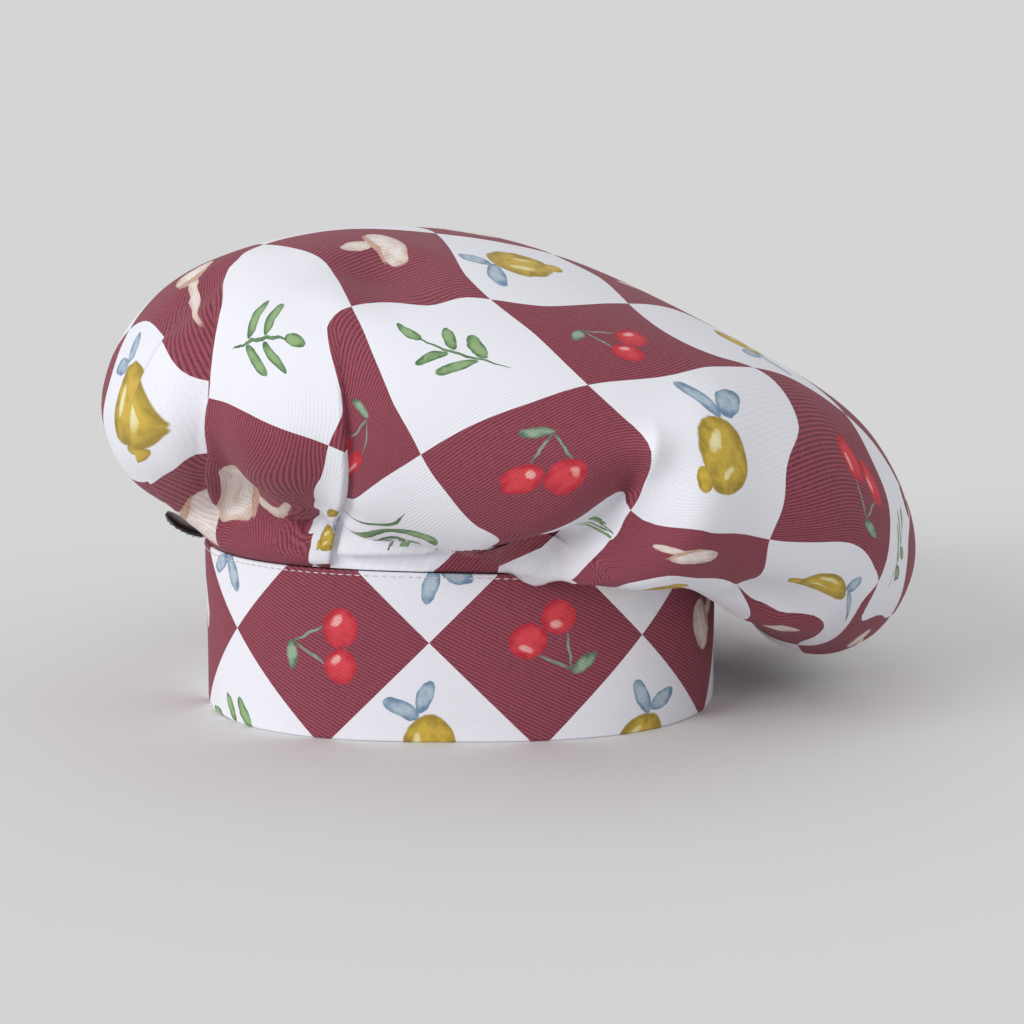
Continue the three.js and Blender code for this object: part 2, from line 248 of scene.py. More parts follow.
# The check in the photograph: first the pixels of corners, with their place in the check, u and
# v in squares, and then pixels along its lines, on which only one of the two is known.
checkCorners = [
    ((0, 0), (351.5, 306.5)), ((1, 0), (490.5, 299.3)), ((2, 0), (628.5, 303.6)), ((0, 1), (420.7, 454.6)),
    ((1, 1), (588, 385)), ((2, 1), (753.5, 367.5)), ((0, 2), (523, 545)), ((1, 2), (630.6, 511)),
    ((2, 2), (769.8, 539.8)), ((3, 2), (878.6, 581.7)), ((2, 3), (738, 586)), ((4, 1), (909.5, 522)),
    ((-1, 0), (328, 445.4)), ((-1, -1), (208.5, 398)), ((0, -1), (264, 244.5)),
]
checkLines = [
    ("v", 0, [(391, 302.3), (432, 305.8), (462.7, 297.4), (544.3, 306.2), (586, 304.5)]),
    ("v", 0, [(336, 428), (343, 412), (328, 325), (337, 312.5)]),
    ("v", 0, [(320, 480), (314.5, 503), (315.5, 518), (314, 540), (307, 561)]),
    ("v", 1, [(452.4, 435.4), (493.3, 416), (534, 401.7), (631.6, 379.9), (663, 376.6), (705, 367)]),
    ("v", 1, [(383, 478.2), (348, 498.5), (789.4, 377.5), (898, 481.5)]),
    ("v", 2, [(546.8, 537.1), (572.7, 521.6), (593.3, 507.8), (610.5, 495.8), (624, 490.5)]),
    ("v", 2, [(650, 523.3), (688, 528.5), (714, 533.7), (823.5, 542.3), (863.4, 550.3), (874.5, 568)]),
    ("v", 2, [(860, 620), (884, 618), (894, 613)]),
    ("v", 3, [(726.2, 579.8), (696, 578.5), (665, 575.8), (759.7, 601.3), (782, 612.5), (823.5, 621.2)]),
    ("v", -1, [(210.8, 371), (219.8, 314.4), (228, 270)]),
    ("v", -1.5, [(130, 395), (182, 287)]),
    ("v", 1.5, [(350, 541), (388, 540)]),
    ("v", 1.8, [(460, 545)]),
    ("v", -0.75, [(222, 535)]),
    ("v", -0.5, [(238, 500)]),
    ("v", 2.4, [(868, 632)]),
    ("u", 0, [(290.6, 247.5), (326, 263), (338, 280), (363.7, 331.3), (379, 369), (393.3, 403.8)]),
    ("u", 0, [(444.7, 490.2), (460, 509.8), (478.4, 527.5), (500, 541)]),
    ("u", 1, [(425.9, 229), (444.3, 241.5), (456.5, 260), (464.7, 274), (534, 333.4), (558.6, 356.8)]),
    ("u", 1, [(626, 420), (640, 432), (651, 449), (651.5, 460), (643.5, 484), (610.5, 540.5), (576, 571)]),
    ("u", 2, [(564.7, 260), (597.3, 276.2), (663, 331), (690.5, 345.8), (718, 356.5)]),
    ("u", 2, [(766.3, 374.2), (791.5, 404.7), (798.9, 425), (785.2, 480.5), (767.5, 552), (757, 577)]),
    ("u", 3, [(871.5, 459.4), (888.3, 501.5), (890, 535), (884, 569), (863.4, 599.7)]),
    ("u", 4, [(908, 544), (906.5, 567), (904, 584)]),
    ("u", 3.5, [(868, 632)]),
    ("u", -1.5, [(238, 500), (330, 510)]),
    ("u", -1.25, [(335, 480)]),
    ("u", -1.8, [(225, 543), (260, 548), (285, 552), (325, 555)]),
    ("u", -0.5, [(388, 540)]),
    ("u", -0.7, [(350, 541)]),
    ("u", -0.25, [(460, 545)]),
    ("u", -1, [(255, 417), (295, 433.5), (344, 452), (184.4, 373.4), (166, 348.5), (149, 321.5), (135, 325)]),
    ("u", -2, [(202, 453), (175, 469), (153, 483)]),
]
squareSide = 51 * mm


# Coefficients of the cubic spline with continuous curvature through evenly numbered values.
def splineNet(values, closed):
    count = len(values)
    matrix = np.zeros((count, count))
    for i in range(count):
        matrix[i, i] += 4 / 6
        matrix[i, (i - 1) % count] += 1 / 6
        matrix[i, (i + 1) % count] += 1 / 6
    if not closed:
        matrix[0] = matrix[-1] = 0
        matrix[0, 0] = matrix[-1, -1] = 1
    net = np.linalg.solve(matrix, values.reshape(count, -1)).reshape(values.shape)
    if closed:
        return np.concatenate([net[-1:], net, net[:2]])
    return np.concatenate([[2 * net[0] - net[1]], net, [2 * net[-1] - net[-2]]])


# The shares of the four values of a net that meet at a fraction f of the way between two.
def splineShares(f):
    return [
        (1 - f) ** 3 / 6,
        (3 * f ** 3 - 6 * f ** 2 + 4) / 6,
        (-3 * f ** 3 + 3 * f ** 2 + 3 * f + 1) / 6,
        f ** 3 / 6,
    ]


def azimuthOf(point):
    return math.degrees(math.atan2(point.x - axis.x, axis.y - point.y))


def neighbours(vert):
    return [edge.other_vert(vert) for edge in vert.link_edges]


# The CAD crown's outer skin as columns of points from the seam up, with the azimuth of each
# column. Counting steps down from the pole gives each point's ring.
def readCrown():
    mesh = bmesh.new()
    mesh.from_mesh(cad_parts["crown"].data)
    bmesh.ops.remove_doubles(mesh, verts=mesh.verts, dist=tiny)
    pole = max(mesh.verts, key=lambda v: (len(v.link_edges), v.co.z))
    rings, seen = [[pole]], {pole}
    while rings[-1]:
        reached = []
        for vert in rings[-1]:
            for other in neighbours(vert):
                if other not in seen:
                    seen.add(other)
                    reached.append(other)
        rings.append(reached)
    size = len(rings[1])
    rings = [ring for ring in rings if len(ring) == size]
    outer = rings[:len(rings) // 2]  # the rest climb back up inside
    rows = []
    for ring in reversed(outer):
        members = set(ring)
        fromSeam = {v: (azimuthOf(v.co) - crown["backSeam"] + 180) % 360 - 180 for v in ring}
        start = min(ring, key=lambda v: abs(fromSeam[v]))
        walk = [start, max(members.intersection(neighbours(start)), key=fromSeam.get)]
        while len(walk) < size:
            walk.append(next(v for v in neighbours(walk[-1]) if v in members and v is not walk[-2]))
        rows.append([list(v.co) for v in walk])
    grid, top = np.swapaxes(np.array(rows), 0, 1), np.array(pole.co)
    mesh.free()
    labels = np.unwrap([azimuthOf(Vector(p)) for p in grid[:, 0]], period=360)
    return labels, grid, top


labels, cadGrid, cadPole = readCrown()
ringLabels = np.append(labels, labels[0] + 360)
poleRow = cadGrid.shape[1]


# Place of an azimuth among the CAD crown's columns.
def columnAt(azimuth):
    wrapped = (np.asarray(azimuth) - ringLabels[0]) % 360 + ringLabels[0]
    return np.interp(wrapped, ringLabels, np.arange(len(ringLabels)))


# The spline net of the skin, carried on over the pole so that it stays smooth there.
def makeSkinNet():
    net = splineNet(cadGrid, True)
    place = columnAt(labels + 180)
    start = np.floor(place).astype(int)
    opposite = sum(w[:, None, None] * net[start + i] for i, w in enumerate(splineShares(place - start)))
    tall = np.concatenate([cadGrid, np.tile(cadPole, (len(labels), 1, 1)), opposite[:, :-4:-1]], 1)
    return splineNet(np.swapaxes(splineNet(np.swapaxes(tall, 0, 1), False), 0, 1), True)


skinNet = makeSkinNet()


# Points of the skin at azimuths and climbs.
def skinAt(azimuth, climb):
    column, row = columnAt(azimuth), np.asarray(climb) * poleRow
    i = np.clip(np.floor(column).astype(int), 0, len(labels) - 1)
    k = np.clip(np.floor(row).astype(int), 0, poleRow)
    total = 0
    for a, across in enumerate(splineShares(column - i)):
        for b, up in enumerate(splineShares(row - k)):
            total = total + (across * up)[..., None] * skinNet[i + a, k + b]
    return total


print("crown skin read:", len(labels), "columns by", poleRow, "rows")


# Looks up where a pixel's ray meets a grid of points, and what a grid of values is there. The
# values are given for the two sides of each strip between columns.
def makeFinder(points, leftValues, rightValues):
    columns, rows = points.shape[:2]
    triangles, values = [], []
    for i in range(columns):
        j = (i + 1) % columns
        for k in range(rows - 1):
            corners = [(i, k), (j, k), (j, k + 1), (i, k + 1)]
            held = [leftValues[i, k], rightValues[i, k], rightValues[i, k + 1], leftValues[i, k + 1]]
            for pick in ((0, 1, 2), (0, 2, 3)):
                triangles.append([corners[p][0] * rows + corners[p][1] for p in pick])
                values.append([Vector((*held[p], 0)) for p in pick])
    flat = [Vector(p) for p in points.reshape(-1, 3)]
    tree = BVHTree.FromPolygons(flat, triangles)

    def find(pixel):
        hit, _, index, _ = tree.ray_cast(camera.location, rayThrough(pixel))
        if hit is None:
            raise ValueError(f"no cloth under pixel {pixel}")
        return barycentric_transform(hit, *(flat[v] for v in triangles[index]), *values[index])

    return find


evenAzimuths = crown["backSeam"] + np.arange(0, 360, crown["evenStep"])
evenClimbs = np.linspace(0, 1, crown["evenRows"])
evenGrid = np.stack(np.meshgrid(evenAzimuths, evenClimbs, indexing="ij"), -1)
evenPoints = skinAt(evenGrid[..., 0], evenGrid[..., 1])
findOnSkin = makeFinder(evenPoints, evenGrid, evenGrid + (crown["evenStep"], 0))


def smoothstep(low, high, x):
    t = np.clip((x - low) / (high - low), 0, 1)
    return t * t * (3 - 2 * t)


climbs = np.arange(crown["rows"]) / crown["rows"]


# Azimuth of a fold's line at each climb.
def foldLine(fold):
    spots = sorted((p.y, p.x) for p in map(findOnSkin, fold["pixels"]))
    spots = [(0, fold["seamAzimuth"]), *spots, (1, fold["topAzimuth"])]
    line = np.interp(climbs, *zip(*spots))
    window = np.hanning(crown["lineWindow"])[1:-1]
    return np.convolve(np.pad(line, len(window) // 2, mode="edge"), window / window.sum(), mode="valid")


# Azimuths of the crown's columns at each climb, with a column along each fold. A fold brings three
# lines, its own and one on either side, so two strips of every three are the narrow ones beside it.
def columnLines():
    first = np.full(len(climbs), float(crown["backSeam"]))
    lines, foldPlaces = [first], []
    for fold in folds:
        middle = np.maximum(foldLine(fold), lines[-1] + crown["foldGap"] - crown["foldSide"])
        lines += [middle - crown["foldSide"], middle, middle + crown["foldSide"]]
    lines.append(first + 360)
    columns = [first]
    for number, (low, high) in enumerate(zip(lines, lines[1:])):
        middle = (low + high).mean() / 2
        away = abs(middle - crown["frontMiddle"])
        step = crown["frontStep"] if away < crown["frontReach"] else crown["backStep"]
        narrow = number % 3 != 0
        parts = 1 if narrow else max(1, round((high - low).mean() / step))
        columns += [low + (high - low) * i / parts for i in range(1, parts + 1)]
        if number % 3 == 1:
            foldPlaces.append(len(columns) - 1)
    return np.array(columns[:-1]), foldPlaces


# The rows are bent a little at the front, so that one of them runs along the lip.
def bendRows(lines):
    spots = sorted((p.x, p.y) for p in map(findOnSkin, lip["pixels"]))
    place = np.interp(lines[:, lip["row"]], *zip(*spots)) - climbs[lip["row"]]
    near = smoothstep(*(lip["from"] - away for away in lip["bendIn"]), lines[:, 0])
    near *= 1 - smoothstep(lip["to"], lip["to"] + lip["bendOut"], lines[:, 0])
    tent = np.interp(np.arange(len(climbs)), [0, lip["row"], lip["row"] * lip["bendTop"]], [0, 1, 0])
    return climbs + (place * near)[:, None] * tent


lines, foldPlaces = columnLines()
climbGrid = bendRows(lines)
azimuths = np.array([np.interp(row, climbs, line) for row, line in zip(climbGrid, lines)])
print("crown grid:", azimuths.shape)


# How far each point is from the pole along the skin, how far round from the back seam, and the
# way round at its height: first on the even grid, then read at the crown's own points.
def evenPlaces():
    steps = np.linalg.norm(np.diff(evenPoints, axis=1), axis=2)
    fromPole = np.pad(np.cumsum(steps[:, ::-1], 1)[:, ::-1], ((0, 0), (0, 1)))
    around = np.linalg.norm(evenPoints - np.roll(evenPoints, 1, 0), axis=2)
    lap = around.sum(0)
    around[0] = 0
    return fromPole, np.cumsum(around, 0), lap


evenFromPole, evenAlong, evenLap = evenPlaces()


# Values of the even grid at the crown's own points, where one turn adds perTurn to them.
def onColumns(values, perTurn=0.0):
    closed = np.concatenate([values, values[:1] + perTurn], 0)
    across = (azimuths - crown["backSeam"]) / crown["evenStep"]
    up = climbGrid * (len(evenClimbs) - 1)
    i, k = np.floor(across).astype(int), np.floor(up).astype(int)
    a, b = across - i, up - k
    low = closed[i, k] * (1 - b) + closed[i, k + 1] * b
    high = closed[i + 1, k] * (1 - b) + closed[i + 1, k + 1] * b
    return low * (1 - a) + high * a


fromPole = onColumns(evenFromPole)
along = onColumns(evenAlong, evenLap)
lap = np.interp(climbGrid, evenClimbs, evenLap)


def foldStrength(fold):
    return 1 - smoothstep(fold["top"] - fold["fade"], fold["top"], climbGrid)


# Cloth hidden by the folds, counted round from the back seam, at each strip between columns. The
# cut is a flat round, so near the seam it is far too wide: pleats with no amount of their own
# share what the others leave.
def hiddenCloth():
    hidden, total = np.zeros(climbGrid.shape), np.zeros(climbGrid.shape)
    sides = [1 if fold["over"] == "left" else -1 for fold in folds]
    starts = [place + side for place, side in zip(foldPlaces, sides)]
    for fold, start in zip(folds, starts):
        amount = fold["hides"] * mm * np.clip(1 - climbGrid / fold["top"], 0, 1)
        hidden[start:] += amount[start:]
        total += amount
    plain = [(fold, start) for fold, start in zip(folds, starts) if not fold["pixels"]]
    meanDistance = np.interp(climbGrid, evenClimbs, evenFromPole.mean(0))
    spare = np.maximum(0, 2 * np.pi * meanDistance - lap - total)
    for fold, start in plain:
        amount = spare / len(plain) * foldStrength(fold)
        hidden[start:] += amount[start:]
        total += amount
    return hidden, total


hidden, hiddenTotal = hiddenCloth()


# Places on the flat round that the crown was cut as, in metres from its middle, for the left and
# the right end of each strip. The turn from strip to strip, over cloth that shows and cloth that
# is tucked away, adds up to one whole round.
def flatPlaces():
    distance = np.maximum(fromPole, tiny)
    nextDistance = np.roll(distance, -1, 0)
    seen = np.diff(np.concatenate([along, along[:1] + lap[:1]]), axis=0) * 2 / (distance + nextDistance)
    tucked = np.diff(np.concatenate([hidden, hiddenTotal[:1]]), axis=0) / nextDistance
    left = np.cumsum(seen + tucked, 0) - seen - tucked
    wholeTurn = 2 * np.pi / (seen + tucked).sum(0)
    middle = np.argmin(abs(azimuths[:, len(climbs) // 2] - crown["frontMiddle"]))
    ends = []
    for away, reach in ((left, distance), (left + seen, nextDistance)):
        angle = math.radians(crown["frontMiddle"]) + (away - left[middle]) * wholeTurn
        ends.append(np.stack([reach * np.sin(angle), -reach * np.cos(angle)], -1))
    return ends


flatLeft, flatRight = flatPlaces()
print("cut worked out")


def unit(vectors):
    return vectors / np.linalg.norm(vectors, axis=-1, keepdims=True)


# Level directions away from the band's axis.
def outwardAt(points):
    return unit((points - np.array(axis)) * (1, 1, 0))


# At the folds: how far the skin is lifted, pushed towards the viewpoint and shifted round the
# crown, in metres.
def foldLift():
    lift, push, shift = (np.zeros(climbGrid.shape) for _ in range(3))
    foot = smoothstep(0, crown["footFade"], climbGrid)
    for fold, place in zip(folds, foldPlaces):
        distance = (along - along[place] + lap / 2) % lap - lap / 2
        strength = foldStrength(fold) * foot * fold["height"] * mm
        if fold["over"] == "neither":
            strength = strength * smoothstep(*crown["neitherRise"], climbGrid)
            away = np.hypot(distance, crown["neitherRound"]) - crown["neitherRound"]
            push += strength * np.exp(-away / (fold["reach"] * mm))
            continue
        side = 1 if fold["over"] == "right" else -1
        distance = distance * side
        edge = 1 - crown["edgeDip"] * np.exp(-(distance / crown["edgeRadius"]) ** 2)
        above = edge * np.exp(-distance / (fold["reach"] * mm))
        below = -np.exp(distance / crown["underReach"])
        over = distance > -tiny
        lift += np.where(over, above, below) * strength / 2
        slide = np.where(over, -1, 1) * np.exp(-abs(distance) / crown["undercutReach"])
        shift += side * slide * crown["undercut"] * strength / crown["undercutHeight"]
    return lift, push, shift


# Push towards the viewpoint along the short creases.
def creasePush(points):
    push = np.zeros(climbGrid.shape)
    for crease in creases:
        pixels = np.array(crease["pixels"])
        reach = np.append(0, np.cumsum(np.linalg.norm(np.diff(pixels, axis=0), axis=1)))
        share = np.linspace(0, 1, creaseLine["points"])
        across, down = (np.interp(share * reach[-1], reach, places) for places in pixels.T)
        spots = np.array([findOnSkin(pixel) for pixel in zip(across, down)])
        line = skinAt(spots[:, 0], spots[:, 1])
        apart = np.linalg.norm(points[:, :, None] - line, axis=3)
        nearest = apart.argmin(2)
        away = apart.min(2) / (crease["reach"] * mm)
        profile = np.exp(-away) if crease["sharp"] else np.exp(-away ** 2)
        taper = smoothstep(0, creaseLine["taper"], np.minimum(share, 1 - share) + creaseLine["least"])
        push += crease["height"] * mm * profile * taper[nearest]
    return push


# The front lip: the points above its row move out and down, and those beneath it in and up.
def lipShift(points):
    height = fromPole[:, lip["row"]][:, None] - fromPole
    over = height > -tiny
    strength = smoothstep(lip["from"], lip["from"] + lip["fadeIn"], azimuths)
    strength *= 1 - smoothstep(lip["to"] - lip["fadeOut"], lip["to"], azimuths)
    strength *= np.where(over, 1, smoothstep(0, lip["foot"], climbGrid))
    sideways = np.where(over, lip["out"], -lip["in"]) * np.exp(-abs(height) / lip["reach"])
    upward = np.where(over, -1, lip["rise"]) * lip["drop"] * np.exp(-abs(height) / lip["dropReach"])
    moved = outwardAt(points) * sideways[..., None] + np.array([0, 0, 1]) * upward[..., None]
    return moved * strength[..., None]


# The tongue of cloth between the hollow and the ridge hangs a little over the band. The cloth is
# drawn together there, so its points are evened out first.
tongue = {
    "azimuth": 15.5,
    "hang": {"spread": 4.5, "grow": (0, 0.05), "fade": (0.18, 0.30)},  # degrees, and climbs
    "even": {"spread": 5, "grow": (0, 0.02), "fade": (0.24, 0.32)},
    "out": 2.0 * mm,
    "down": 6.0 * mm,
    "rounds": 14,  # of evening out
}


def nearTongue(reach):
    near = np.exp(-((azimuths - tongue["azimuth"]) / reach["spread"]) ** 2)
    near *= smoothstep(*reach["grow"], climbGrid) * (1 - smoothstep(*reach["fade"], climbGrid))
    return near[..., None]


def hangShift(points):
    return (outwardAt(points) * tongue["out"] - (0, 0, tongue["down"])) * nearTongue(tongue["hang"])


def smoothTongue(points):
    near = nearTongue(tongue["even"])
    for _ in range(tongue["rounds"]):
        beside = (np.roll(points, 1, 0) + np.roll(points, -1, 0)) / 4
        rows = np.pad(points, ((0, 0), (1, 1), (0, 0)), mode="edge")
        beside += (rows[:, 2:] + rows[:, :-2]) / 4
        points = points + (beside - points) * near
    return points


# The points for laying the check, and then the same with the tongue finished.
def foldedPoints():
    points = skinAt(azimuths, climbGrid)
    aside, ahead = 0.5, 0.004  # degrees and climb between the points that give the skin's slope
    around = unit(skinAt(azimuths + aside, climbGrid) - skinAt(azimuths - aside, climbGrid))
    up = skinAt(azimuths, climbGrid + ahead) - skinAt(azimuths, np.maximum(climbGrid - ahead, 0))
    normals = unit(np.cross(around, up))
    lift, push, shift = foldLift()
    push += creasePush(points) * smoothstep(0, crown["footFade"], climbGrid)
    ripples = [noise.noise(Vector(p) / crown["rippleLength"]) for p in points.reshape(-1, 3)]
    grow = smoothstep(0, crown["rippleFade"], climbGrid)
    lift += np.array(ripples).reshape(lift.shape) * crown["ripple"] * grow
    towards = unit(np.array(camera.location) - points)
    laid = points + lipShift(points) + around * shift[..., None]
    laid += normals * lift[..., None] + towards * push[..., None]
    return laid, smoothTongue(laid) + hangShift(points)


laidPoints, crownPoints = foldedPoints()
print("folds laid")


# Turns places on the flat round into places in the check, in squares. A thin plate bends the
# plain check to the corners and lines that show, and plain squares steady it round the back.
plate = {
    "slack": 0.002,  # lets it pass close by the corners instead of through them, for a soft bend
    "steadyTurns": range(106, 227, 20),  # degrees round from the middle of the front
    "steadyReaches": (1.8, 3.1, 4.4),  # squares out from the pole
}


def checkFrom(corners, lines):
    flats = np.array([flat for _, flat in corners]) / squareSide
    squares = np.array([place for place, _ in corners], float)
    x, y = flats.T
    one, none = np.ones(len(x)), np.zeros(len(x))
    # the plain check is u = a x - b y + c and v = -a y - b x + d
    rows = np.concatenate([np.column_stack([x, -y, one, none]), np.column_stack([-y, -x, none, one])])
    a, b, c, d = np.linalg.lstsq(rows, squares.T.ravel(), rcond=None)[0]
    print("check: size", round(math.hypot(a, b), 3), "turn", round(math.degrees(math.atan2(b, a)), 1))
    back = np.radians(crown["frontMiddle"] + np.array(plate["steadyTurns"]))
    ways = np.column_stack([np.sin(back), -np.cos(back)])
    steady = np.concatenate([reach * ways for reach in plate["steadyReaches"]])
    x, y = steady.T
    plain = np.column_stack([a * x - b * y + c, -a * y - b * x + d])

    def swell(p, q):
        apart = np.linalg.norm(p[:, None] - q[None], axis=2)
        return apart ** 2 * np.log(np.maximum(apart, 1e-9))

    def terms(p):
        return np.column_stack([p, np.ones(len(p))])

    plates = []
    for count, name in enumerate("uv"):
        onLines = [(np.array(flat) / squareSide, value) for kind, value, flat in lines if kind == name]
        known = np.concatenate([flats, [flat for flat, _ in onLines], steady])
        wanted = np.concatenate([squares[:, count], [value for _, value in onLines], plain[:, count]])
        bend = swell(known, known) + np.eye(len(known)) * plate["slack"]
        system = np.block([[bend, terms(known)], [terms(known).T, np.zeros((3, 3))]])
        plates.append((known, np.linalg.solve(system, np.append(wanted, [0, 0, 0]))))

    def check(flat):
        p = flat.reshape(-1, 2) / squareSide
        parts = [swell(p, known) @ solved[:-3] + terms(p) @ solved[-3:] for known, solved in plates]
        return np.stack(parts, 1).reshape(flat.shape)

    return check


findFlat = makeFinder(laidPoints, flatLeft, flatRight)
cornerFlats = [(place, findFlat(pixel).xy) for place, pixel in checkCorners]
lineFlats = [(kind, value, findFlat(pixel).xy) for kind, value, pixels in checkLines for pixel in pixels]
checkAt = checkFrom(cornerFlats, lineFlats)
checkLeft, checkRight = checkAt(flatLeft), checkAt(flatRight)
poleCheck = checkAt(np.zeros((1, 2)))[0]

# Under the front lip, a strip and the tongue of cloth beside it show next to cloth that lies far
# from them in the cut, so their check follows lines of its own in the photograph, each a pixel on
# it and the degrees down from the picture's right in which u or v grows across it.
underLip = {
    "vLine": ((446, 561), 47),  # where v is 2
    "uLine": ((500, 566), 66),  # where u is 0, at the tongue's edge
    "rootLine": ((541, 548), 47),  # and where the tongue joins the cloth above
    "tip": 498,  # pixel across, where the tongue starts
    "uShare": 0.9,  # of a square's u, so that squares come out a little wider
    "flatten": 0.25,  # how far the white of the strip is drawn together, to keep motifs off it
    "row": 10,  # the strip's top row of faces
    "above": (2, 5, 6.5),  # azimuths past which the strip goes on above that row
    "aboveTop": (0.235, 0.25, 0.335),  # and the climbs that it goes up to there
    "edge": 550.5,  # pixel down, below which what shows is the strip and not the cloth above
    "edgeFrom": -22,  # azimuth from which that holds
    "climb": 0.37,  # of the tongue
    "fade": 0.06,
    "thinFrom": 5,  # row from which the wall is drawn thinner
}


def pixelOf(point):
    seen = camera.matrix_world.inverted() @ Vector(point)
    scale = pixelsPerTangent / -seen.z
    return halfFrame + seen.x * scale, halfFrame - seen.y * scale


def underCheck(point):
    square = squareSide * pixelsPerTangent / (Vector(point) - camera.location).length
    spot = np.array(pixelOf(point))

    def past(name):
        start, down = underLip[name]
        return (spot - start) @ (math.cos(math.radians(down)), math.sin(math.radians(down)))

    u = min(max(past("uLine"), past("rootLine")), spot[0] - underLip["tip"])
    v = past("vLine")
    v *= underLip["flatten"] if v < 0 else 1
    return np.array([underLip["uShare"] * u / square, 2 + v / square])


columnOf = dict(zip((fold["name"] for fold in folds), foldPlaces))


# The check at the corners of the face between columns i and j, above row k.
def faceCheck(i, j, k):
    spots = ((i, k), (j, k), (j, k + 1), (i, k + 1))
    plain = [checkLeft[i, k], checkRight[i, k], checkRight[i, k + 1], checkLeft[i, k + 1]]
    azimuth, climb = azimuths[i, k], climbGrid[i, k]
    if columnOf["pleat"] < i < columnOf["hollow"]:
        top = np.interp(azimuth, underLip["above"], underLip["aboveTop"], left=0)
        if azimuth > underLip["edgeFrom"] and pixelOf(crownPoints[i, k])[1] > underLip["edge"]:
            top = max(underLip["aboveTop"])
        if k < underLip["row"] or climb < top:
            return [underCheck(crownPoints[spot]) for spot in spots]
    if columnOf["hollow"] <= i < columnOf["ridge"] and climb < underLip["climb"]:
        blended = []
        for value, spot in zip(plain, spots):
            share = smoothstep(underLip["climb"] - underLip["fade"], underLip["climb"], climbGrid[spot])
            blended.append(value * share + underCheck(crownPoints[spot]) * (1 - share))
        return blended
    return plain


print("check laid on the cloth")


def addPiece(name, mesh):
    piece = bpy.data.objects.new(name, mesh)
    bpy.context.scene.collection.objects.link(piece)
    return piece


def pieceFrom(name, points, faces):
    mesh = bpy.data.meshes.new(name)
    mesh.from_pydata([tuple(p) for p in points], [], faces)
    return addPiece(name, mesh)


# Shades a piece smooth and gives it these materials alone.
def dress(piece, materials):
    piece.data.shade_smooth()
    piece.data.materials.clear()
    for material in materials:
        piece.data.materials.append(material)


def applyModifiers(piece):
    bpy.ops.object.select_all(action="DESELECT")
    bpy.context.view_layer.objects.active = piece
    piece.select_set(True)
    for modifier in list(piece.modifiers):
        bpy.ops.object.modifier_apply(modifier=modifier.name)
    piece.select_set(False)


def makeCrown(materials):
    columns, rows = climbGrid.shape
    points = [*crownPoints.reshape(-1, 3), skinAt(np.array([0.0]), np.array([1.0]))[0]]
    faces, uvs = [], []
    for i in range(columns):
        j = (i + 1) % columns
        for k in range(rows - 1):
            faces.append((i * rows + k, j * rows + k, j * rows + k + 1, i * rows + k + 1))
            uvs += faceCheck(i, j, k)
        faces.append((i * rows + rows - 1, j * rows + rows - 1, columns * rows))
        uvs += [checkLeft[i, rows - 1], checkRight[i, rows - 1], poleCheck]
    piece = pieceFrom("crown_cloth", points, faces)
    layer = piece.data.uv_layers.new(name="check")
    layer.data.foreach_set("uv", np.array(uvs, np.float32).ravel())
    dress(piece, materials)
    # under the lip the cloth turns so tightly that its wall is drawn thinner there
    tight = (azimuths > underLip["edgeFrom"]) & (climbGrid < max(underLip["aboveTop"]))
    tight &= (np.arange(columns) < columnOf["ridge"])[:, None] & (np.arange(rows) > underLip["thinFrom"])
    full = piece.vertex_groups.new(name="full wall")
    full.add([int(n) for n in np.flatnonzero(~tight.ravel())] + [columns * rows], 1.0, "REPLACE")
    wall = piece.modifiers.new("wall", "SOLIDIFY")
    wall.thickness, wall.offset, wall.thickness_clamp = crown["wall"], -1, 1.0
    wall.vertex_group, wall.thickness_vertex_group = full.name, crown["thinWall"]
    wall.material_offset = 1
    applyModifiers(piece)
    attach(piece, "root")
    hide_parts("crown")
    return piece


# Band: the CAD band with closer loops, so that its edges turn softly, and the check laid on it
# cornerwise. The cloth is doubled, so the print is inside too. It closes a circle at a seam under
# the hook tape, where the check starts again.
band = {
    "loops": [1.5, 7, 14, 21, 28, 35, 42, 47, 51],  # mm up
    "crossing": (-46.6, 32.8 * mm),  # azimuth and height where four squares meet
    "diagonal": 71.4 * mm,  # of a square
    "seam": -103.4,  # azimuth
    "wave": 0.3 * mm,
    "waveLength": 45 * mm,
    "waveTop": 50 * mm,  # the band is held at its rim and here, where the crown is sewn on
    "waveFade": 15 * mm,
    "cut": (0.60, 0.056),  # metres long and wide
}


# A merged copy of a CAD node, left in edit mode.
def copyNode(node, name):
    piece = addPiece(name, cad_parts[node].data.copy())
    bpy.ops.object.select_all(action="DESELECT")
    bpy.context.view_layer.objects.active = piece
    piece.select_set(True)
    bpy.ops.object.mode_set(mode="EDIT")
    bpy.ops.mesh.select_all(action="SELECT")
    bpy.ops.mesh.remove_doubles(threshold=tiny)
    bpy.ops.mesh.tris_convert_to_quads()
    return piece


# The outer face of the band by azimuth: radius, top edge and length round from the seam.
def readBand():
    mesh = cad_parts["headband"].data
    found = {}
    for vert in mesh.vertices:
        place = round((azimuthOf(vert.co) - band["seam"]) % 360, 2)
        radius, top = found.get(place, (0, 0))
        away = math.hypot(vert.co.x - axis.x, vert.co.y - axis.y)
        found[place] = (max(radius, away), max(top, vert.co.z))
    places = np.array(sorted(found))
    radii, tops = np.array([found[p] for p in places]).T
    # carried on past the seam both ways, so that every place lies between two others
    places = np.concatenate([places[-1:] - 360, places, places[:2] + 360])
    radii, tops = (np.concatenate([values[-1:], values, values[:2]]) for values in (radii, tops))
    angles = np.radians(places)
    x, y = radii * np.sin(angles), radii * np.cos(angles)
    return places, radii, tops, np.append(0, np.cumsum(np.hypot(np.diff(x), np.diff(y))))


bandPlaces, bandRadii, bandTops, bandArcs = readBand()


